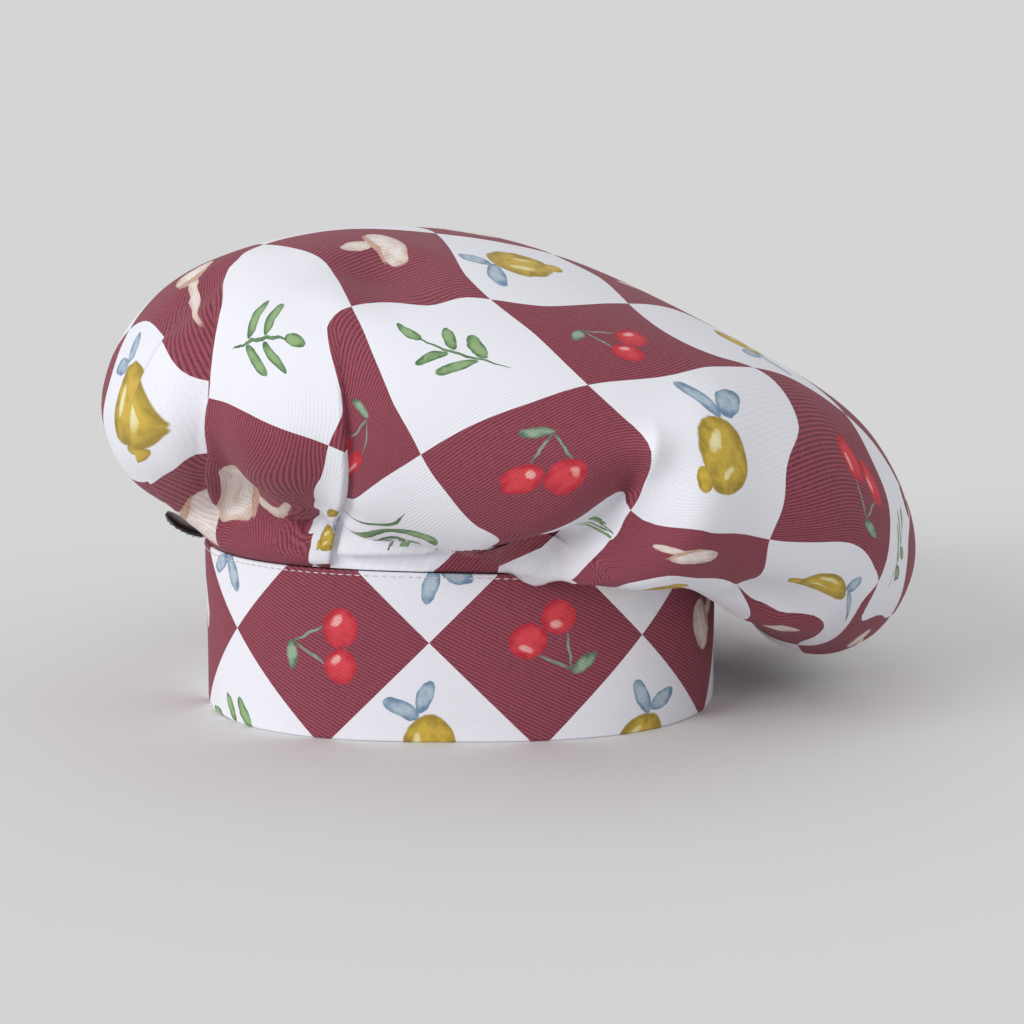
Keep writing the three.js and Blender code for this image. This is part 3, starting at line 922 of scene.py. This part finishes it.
def bandCheck(place, height):
    across = np.interp(place, bandPlaces, bandArcs)
    across -= np.interp((band["crossing"][0] - band["seam"]) % 360, bandPlaces, bandArcs)
    rise = height - band["crossing"][1]
    return (across + rise) / band["diagonal"] + 1, (across - rise) / band["diagonal"]


def makeBand(material):
    piece = copyNode("headband", "band_cloth")
    for height in band["loops"]:
        bpy.ops.mesh.select_all(action="SELECT")
        bpy.ops.mesh.bisect(plane_co=(0, 0, height * mm), plane_no=(0, 0, 1))
    bpy.ops.object.mode_set(mode="OBJECT")
    finer = piece.modifiers.new("finer", "SUBSURF")
    finer.levels = finer.render_levels = 2
    applyModifiers(piece)
    mesh = piece.data
    for vert in mesh.vertices:
        free = min(1, vert.co.z / band["waveFade"])
        free *= min(1, max(0, band["waveTop"] - vert.co.z) / band["waveFade"])
        outward = Vector((vert.co.x - axis.x, vert.co.y - axis.y, 0)).normalized()
        vert.co += outward * noise.noise(vert.co / band["waveLength"]) * band["wave"] * free
    layer = mesh.uv_layers.new(name="check")
    for face in mesh.polygons:
        corners = [mesh.vertices[v].co for v in face.vertices]
        places = [(azimuthOf(c) - band["seam"]) % 360 for c in corners]
        places = [p + 360 if max(places) - p > 180 else p for p in places]
        for loop, place, corner in zip(face.loop_indices, places, corners):
            layer.data[loop].uv = bandCheck(place, corner.z)
    dress(piece, [material])
    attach(piece, "root")
    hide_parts("headband")
    return piece


# A piece made of turned and shifted copies of a small one, which is then deleted.
def repeat(name, small, matrices, material):
    points = np.array([v.co for v in small.data.vertices])
    shapes = [list(p.vertices) for p in small.data.polygons]
    count = len(points)
    spots = [np.array(m @ Vector(p)) for m in matrices for p in points]
    faces = [[v + n * count for v in shape] for n in range(len(matrices)) for shape in shapes]
    piece = pieceFrom(name, spots, faces)
    dress(piece, [material])
    bpy.data.objects.remove(small)
    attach(piece, "root")
    return piece


# Turns a small piece's x along a line and its z outward, at a place.
def turnedTo(along, outward, place):
    side = outward.cross(along).normalized()
    return Matrix.Translation(place) @ Matrix((along, side, along.cross(side))).transposed().to_4x4()


# Topstitches along the band's top edge, each a small lens of thread
stitches = {
    "pitch": 2.8 * mm,
    "aside": 0.3,  # of the pitch, to the two spots that give a stitch its direction
    "length": 2.0 * mm,
    "thread": 0.42 * mm,
    "below": 1.3 * mm,  # under the band's top edge
    "proud": 0.05 * mm,  # of the band's face
}


def makeStitches(material):
    bpy.ops.object.select_all(action="DESELECT")
    bpy.ops.mesh.primitive_uv_sphere_add(segments=8, ring_count=5, radius=0.5, rotation=(0, math.pi / 2, 0))
    small = bpy.context.object
    small.scale = (stitches["thread"], stitches["thread"], stitches["length"])
    bpy.ops.object.transform_apply(rotation=True, scale=True)
    wayRound = bandArcs[-2] - bandArcs[1]
    count = int(wayRound / stitches["pitch"])

    def seamSpot(n):
        place = np.interp(bandArcs[1] + wayRound * n / count, bandArcs, bandPlaces)
        angle = math.radians(place + band["seam"])
        radius = np.interp(place, bandPlaces, bandRadii) + stitches["proud"]
        height = np.interp(place, bandPlaces, bandTops) - stitches["below"]
        return axis + Vector((radius * math.sin(angle), -radius * math.cos(angle), height))

    matrices = []
    for n in range(count):
        start, middle, end = (seamSpot(n + step * stitches["aside"]) for step in (-1, 0, 1))
        outward = Vector((middle.x - axis.x, middle.y - axis.y, 0)).normalized()
        matrices.append(turnedTo((end - start).normalized(), outward, middle))
    piece = repeat("band_topstitches", small, matrices, material)
    return piece


# Hook tape: the end of the closing strap, a stiff black tape with rows of small hooks beneath
tape = {
    "bevel": 0.3 * mm,
    "rows": 7, "hooks": 11,  # hooks in each row
    "loop": 0.45 * mm, "wire": 0.13 * mm,  # radius of a hook's loop and of its wire
    "margin": 1.6 * mm,  # left free at the tape's edges
    "stagger": 0.3,  # of the gap between rows, by which every second hook is set on
    "facingDown": -0.5,  # hooks stand where the normal's z is below this
}


def makeTape(material):
    piece = copyNode("closure_tab", "hook_tape_end")
    bpy.ops.object.mode_set(mode="OBJECT")
    rounding = piece.modifiers.new("rounding", "BEVEL")
    rounding.width, rounding.segments, rounding.limit_method = tape["bevel"], 2, "ANGLE"
    applyModifiers(piece)
    dress(piece, [material])
    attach(piece, "root")
    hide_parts("closure_tab")
    return piece


def makeHooks(tapePiece, material):
    points = [vert.co for vert in tapePiece.data.vertices]
    tree = BVHTree.FromPolygons(points, [list(face.vertices) for face in tapePiece.data.polygons])
    low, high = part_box("closure_tab")
    margin = tape["margin"]
    start = low + Vector((margin, margin, -margin))
    width, depth = high.x - low.x - 2 * margin, high.y - low.y - 2 * margin
    up, forward = Vector((0, 0, 1)), Vector((0, 1, 0))
    matrices = []
    for row in range(tape["rows"]):
        for n in range(tape["hooks"]):
            x = width * (row + tape["stagger"] * (n % 2)) / (tape["rows"] - 1 + tape["stagger"])
            y = depth * n / (tape["hooks"] - 1)
            hit, normal, _, _ = tree.ray_cast(start + Vector((x, y, 0)), up)
            if hit is not None and normal.z < tape["facingDown"]:
                matrices.append(turnedTo(normal.cross(forward).normalized(), forward, hit))
    bpy.ops.object.select_all(action="DESELECT")
    sizes = {"major_radius": tape["loop"], "minor_radius": tape["wire"]}
    bpy.ops.mesh.primitive_torus_add(major_segments=9, minor_segments=5, **sizes)
    small = bpy.context.object
    piece = repeat("hook_tape_hooks", small, matrices, material)
    return piece


# The print is a check with generic kitchen-garden motifs in its squares: cherries and
# mushrooms on maroon, and leafy sprigs and lemons on white, each turned by chance.
printed = {
    "maroon": "#a04f5f",
    "white": "#ececf4",
    "ghost": 0.16,  # how much of the print shows on the reverse
    "reverse": "#e4e2e6",
    "turnSpread": 6.283,  # radians
    "offset": 0.06,  # squares, how far a motif may lie from the middle of its square
    "grow": {"cherries": 1.0, "mushrooms": 1.1, "sprig": 1.25, "lemon": 1.3},
    "wobble": 0.022,  # squares, how uneven a painted edge is
    "wobbles": 9.0,  # of the edge in a square
    "edge": 0.94,  # share of an ellipse at which its edge begins to fade
    "rim": 0.45,  # and at which its colour begins to turn to the rim's
    "washes": 13.0,  # of paler and fuller paint in a square
    "washFrom": (0.35, 0.7),
    "washTo": (-0.35, 0.55),
}

# Ellipses of each motif, back to front: the paint's colour in their middle and at their rim, and
# for each its middle, half length and half width in squares, and its turn in degrees.
motifs = [
    ("cherries", "#93a596", "#64786b", [(-0.045, 0.14, 0.125, 0.011, 53), (0.075, 0.115, 0.133, 0.011, 110)]),
    ("cherries", "#9db39a", "#5a7660", [(0.12, 0.24, 0.10, 0.042, -12)]),
    ("cherries", "#df4a54", "#bd2f3f", [(-0.125, -0.07, 0.13, 0.122, 0), (0.12, -0.11, 0.118, 0.112, 0)]),
    ("cherries", "#f3b1ae", "#e4686c", [(-0.165, -0.035, 0.05, 0.03, 42), (0.085, -0.075, 0.044, 0.026, 40)]),
    ("mushrooms", "#efe2db", "#d9bfb2", [(0.01, -0.13, 0.13, 0.055, 86)]),
    ("mushrooms", "#f6ece7", "#d6bbae", [(0, 0.06, 0.19, 0.125, 6)]),
    ("mushrooms", "#d3af9d", "#c39c86", [(0.005, -0.03, 0.155, 0.02, 6)]),
    ("sprig", "#6c8f62", "#4c6b4a", [(0, 0, 0.25, 0.008, 90)]),
    ("sprig", "#93b07f", "#527650", [
        (-0.085, -0.06, 0.10, 0.034, 140), (0.085, -0.04, 0.10, 0.034, 42), (-0.08, 0.07, 0.09, 0.032, 138),
        (0.075, 0.09, 0.09, 0.03, 44), (0, 0.25, 0.075, 0.03, 88)]),
    ("lemon", "#b4c5d2", "#6f8ba8", [(-0.20, 0.08, 0.10, 0.045, 130), (-0.23, -0.05, 0.09, 0.04, 215)]),
    ("lemon", "#d0b14a", "#9f8838", [(0.02, -0.01, 0.17, 0.135, 20), (0.19, 0.05, 0.045, 0.05, 20)]),
    ("lemon", "#ece3b2", "#d8c472", [(0.0, 0.045, 0.07, 0.022, 20), (0.06, -0.04, 0.05, 0.016, 20)]),
]


mixColours = {"output": "Result", "data_type": "RGBA"}


# The check, and where each motif is picked. Maroon squares take turns by their row, white ones by
# their column, two and two.
def printedCheck(tree, uv):
    cell = addNode(tree, "VectorMath", [uv], operation="FLOOR")
    x = addNode(tree, "SeparateXYZ", [cell], output="X")
    y = addNode(tree, "SeparateXYZ", [cell], output="Y")
    total = addNode(tree, "Math", [x, y], operation="ADD")
    odd = addNode(tree, "Math", [total, 2.0], operation="FLOORED_MODULO")
    dark = addNode(tree, "Math", [odd, 0.5], operation="GREATER_THAN")
    pale = addNode(tree, "Math", [1.0, dark], operation="SUBTRACT")
    picks = {}
    turns = [("cherries", "mushrooms", y, 0.0, dark), ("sprig", "lemon", x, 1.0, pale)]
    for firstName, secondName, place, start, squares in turns:
        place = addNode(tree, "Math", [place, start], operation="ADD")
        place = addNode(tree, "Math", [place, 4.0], operation="FLOORED_MODULO")
        second = addNode(tree, "Math", [place, 1.5], operation="GREATER_THAN")
        first = addNode(tree, "Math", [1.0, second], operation="SUBTRACT")
        picks[firstName] = addNode(tree, "Math", [squares, first], operation="MULTIPLY")
        picks[secondName] = addNode(tree, "Math", [squares, second], operation="MULTIPLY")
    return cell, dark, picks


# Paints the motifs over a ground, and tells where there is paint.
def paintMotifs(tree, uv, cell, picks, ground):
    chance = addNode(tree, "TexWhiteNoise", {"Vector": cell}, output="Color", noise_dimensions="3D")
    amount = addNode(tree, "TexWhiteNoise", {"Vector": cell}, output="Value", noise_dimensions="3D")
    angle = addNode(tree, "Math", [amount, printed["turnSpread"]], operation="MULTIPLY")
    inside = addNode(tree, "VectorMath", [uv], operation="FRACTION")
    middle = addNode(tree, "VectorMath", [chance, (0.5, 0.5, 0.5)], operation="SUBTRACT")
    shift = addNode(tree, "VectorMath", {0: middle, "Scale": printed["offset"] * 2}, operation="SCALE")
    local = addNode(tree, "VectorMath", [inside, (0.5, 0.5, 0.0)], operation="SUBTRACT")
    local = addNode(tree, "VectorMath", [local, shift], operation="SUBTRACT")
    local = addNode(tree, "VectorRotate", {"Vector": local, "Angle": angle}, rotation_type="Z_AXIS")
    wobbles = {"Vector": uv, "Scale": printed["wobbles"], "Detail": 2.0}
    wobble = addNode(tree, "TexNoise", wobbles, output="Color")
    wobble = addNode(tree, "VectorMath", [wobble, (0.5, 0.5, 0.5)], operation="SUBTRACT")
    wobble = addNode(tree, "VectorMath", {0: wobble, "Scale": printed["wobble"] * 2}, operation="SCALE")
    local = addNode(tree, "VectorMath", [local, wobble], operation="ADD")
    local = addNode(tree, "VectorMath", [local, (1.0, 1.0, 0.0)], operation="MULTIPLY")
    washes = {"Vector": uv, "Scale": printed["washes"], "Detail": 3.0}
    wash = addNode(tree, "TexNoise", washes, output="Fac")
    wash = addNode(tree, "MapRange", [wash, *printed["washFrom"], *printed["washTo"]])
    painted = None
    for name, core, rim, ellipses in motifs:
        nearest = None
        grow = printed["grow"][name]
        for *sizes, turn in ellipses:
            x, y, half, wide = (grow * size for size in sizes)
            placed = addNode(tree, "Mapping", [local, (x, y, 0), (0, 0, math.radians(turn)), (half, wide, 1)],
                             vector_type="TEXTURE")
            apart = addNode(tree, "VectorMath", [placed], output="Value", operation="LENGTH")
            if nearest is not None:
                apart = addNode(tree, "Math", [nearest, apart], operation="MINIMUM")
            nearest = apart
        cover = addNode(tree, "MapRange", [nearest, printed["edge"], 1.0, 1.0, 0.0])
        cover = addNode(tree, "Math", [cover, picks[name]], operation="MULTIPLY")
        outer = addNode(tree, "MapRange", [nearest, printed["rim"], 1.0, 0.0, 1.0])
        outer = addNode(tree, "Math", [outer, wash], operation="ADD", use_clamp=True)
        paint = addNode(tree, "Mix", {"Factor": outer, "A": linear(core), "B": linear(rim)}, **mixColours)
        ground = addNode(tree, "Mix", {"Factor": cover, "A": ground, "B": paint}, **mixColours)
        painted = cover if painted is None else addNode(tree, "Math", [painted, cover], operation="MAXIMUM")
    return ground, painted


# Polyester-cotton twill, woven and then printed: matt and even, with fine slanting ribs that
# show as light and dark lines on the maroon and hardly on the white: a bump gives them relief, and
# painted shade darkens the colour in their grooves. They are drawn a little coarser than on the real cloth,
# so that they show.
weave = {
    "ribPitch": 1.15 * mm,
    "ribDepth": 0.16 * mm,
    "bump": 0.45,
    "darkGrooveShade": 0.56,  # painted shade in the grooves, on maroon
    "paleGrooveShade": 0.025,  # on white
    "reverseGrooveShade": 0.10,  # on the reverse of the maroon
    "motifGrooveShade": 0.3,  # share of that on a motif
    "crownTurn": 9, "bandTurn": 108,  # degrees, of the ribs from the check's lines
    "thread": 0.5 * mm,
    "threadFrom": (0.3, 0.7),  # range of its noise
    "threadShift": (-0.7, 0.7),  # radians of a rib's wave
    "threadDepth": (0.75, 1.25),
    "roughness": 0.75,
    "specular": 0.2,
    "sheen": 0.05,
}


# The twill by the side of a square of its check and the turn of its ribs.
def makeTwill(name, side, turn, reverse=False):
    material = bpy.data.materials.new(name)
    material.use_nodes = True
    tree = material.node_tree
    shader = tree.nodes["Principled BSDF"]
    uv = addNode(tree, "UVMap", output="UV", uv_map="check")
    cell, dark, picks = printedCheck(tree, uv)
    white, maroon, back = (linear(printed[part]) for part in ("white", "maroon", "reverse"))
    colour = addNode(tree, "Mix", {"Factor": dark, "A": white, "B": maroon}, **mixColours)
    colour, painted = paintMotifs(tree, uv, cell, picks, colour)
    if reverse:
        colour = addNode(tree, "Mix", {"Factor": printed["ghost"], "A": back, "B": colour}, **mixColours)
    angle = math.radians(turn)
    count = 2 * math.pi * side / weave["ribPitch"]
    across = (math.sin(angle) * count, math.cos(angle) * count, 0)
    way = addNode(tree, "VectorMath", [uv, across], output="Value", operation="DOT_PRODUCT")
    threads = {"Vector": uv, "Scale": side / weave["thread"], "Detail": 1.0}
    fibre = addNode(tree, "TexNoise", threads, output="Fac")
    uneven = addNode(tree, "MapRange", [fibre, *weave["threadFrom"], *weave["threadShift"]])
    way = addNode(tree, "Math", [way, uneven], operation="ADD")
    rib = addNode(tree, "Math", [way], operation="SINE")
    rib = addNode(tree, "MapRange", [rib, -1.0, 1.0, 0.0, 1.0])
    darkGrooveShade = weave["reverseGrooveShade" if reverse else "darkGrooveShade"]
    depth = addNode(tree, "MapRange", [dark, 0.0, 1.0, weave["paleGrooveShade"], darkGrooveShade])
    thick = addNode(tree, "MapRange", [fibre, *weave["threadFrom"], *weave["threadDepth"]])
    depth = addNode(tree, "Math", [depth, thick], operation="MULTIPLY")
    bare = addNode(tree, "MapRange", [painted, 0.0, 1.0, 1.0, weave["motifGrooveShade"]])
    depth = addNode(tree, "Math", [depth, bare], operation="MULTIPLY")
    # painted shade: the colour is darkened in the rib grooves, strongly on maroon and faintly on white
    groove = addNode(tree, "Math", [1.0, rib], operation="SUBTRACT")
    shade = addNode(tree, "Math", [groove, depth], operation="MULTIPLY")
    shade = addNode(tree, "Math", [1.0, shade], operation="SUBTRACT")
    shaded = {"Factor": 1.0, "A": colour, "B": shade}
    colour = addNode(tree, "Mix", shaded, blend_type="MULTIPLY", **mixColours)
    relief = {"Strength": weave["bump"], "Distance": weave["ribDepth"], "Height": rib}
    bump = addNode(tree, "Bump", relief, output="Normal")
    tree.links.new(colour, shader.inputs["Base Color"])
    tree.links.new(bump, shader.inputs["Normal"])
    shader.inputs["Roughness"].default_value = weave["roughness"]
    shader.inputs["Sheen Weight"].default_value = weave["sheen"]
    shader.inputs["Specular IOR Level"].default_value = weave["specular"]
    return material


# Spun cotton sewing thread: white and matt, faintly mottled by its twist
spunCotton = {"low": "#c9c4ca", "high": "#efedf0", "grain": 0.5 * mm, "roughness": 0.7}

# Nylon hook tape: moulded black plastic on a woven ground, so it shines in small flecks: its gloss and bump
# are real, and the lighter flecks in its colour are painted glints
hookNylon = {"low": "#141519", "high": "#34373f", "grain": 0.7 * mm, "roughness": 0.32}
speckle = {"range": (0.4, 0.65), "bump": 0.4, "depth": 0.05 * mm}


def makeSpeckled(name, values):
    material = bpy.data.materials.new(name)
    material.use_nodes = True
    tree = material.node_tree
    shader = tree.nodes["Principled BSDF"]
    place = addNode(tree, "TexCoord", output="Object")
    grains = {"Vector": place, "Scale": 1 / values["grain"], "Detail": 2.0}
    spots = addNode(tree, "TexNoise", grains, output="Fac")
    spots = addNode(tree, "MapRange", [spots, *speckle["range"], 0.0, 1.0])
    low, high = linear(values["low"]), linear(values["high"])
    # the mottle between low and high: the twist of the cotton thread, and painted glints on the nylon
    colour = addNode(tree, "Mix", {"Factor": spots, "A": low, "B": high}, **mixColours)
    relief = {"Strength": speckle["bump"], "Distance": speckle["depth"], "Height": spots}
    bump = addNode(tree, "Bump", relief, output="Normal")
    tree.links.new(colour, shader.inputs["Base Color"])
    tree.links.new(bump, shader.inputs["Normal"])
    shader.inputs["Roughness"].default_value = values["roughness"]
    return material


crownLook = (squareSide, weave["crownTurn"])
bandLook = (band["diagonal"] / math.sqrt(2), weave["bandTurn"])
crownTwill = makeTwill("printed crown twill", *crownLook)
crownReverse = makeTwill("reverse of the crown twill", *crownLook, reverse=True)
bandTwill = makeTwill("printed band twill", *bandLook)
cotton = makeSpeckled("white cotton thread", spunCotton)
blackNylon = makeSpeckled("black nylon hook tape", hookNylon)
print("materials made")

crownPiece = makeCrown([crownTwill, crownReverse])
bandPiece = makeBand(bandTwill)
stitchPiece = makeStitches(cotton)
tapePiece = makeTape(blackNylon)
hookPiece = makeHooks(tapePiece, blackNylon)
for piece in (crownPiece, bandPiece, stitchPiece, tapePiece, hookPiece):
    print(piece.name, "faces:", len(piece.data.polygons))
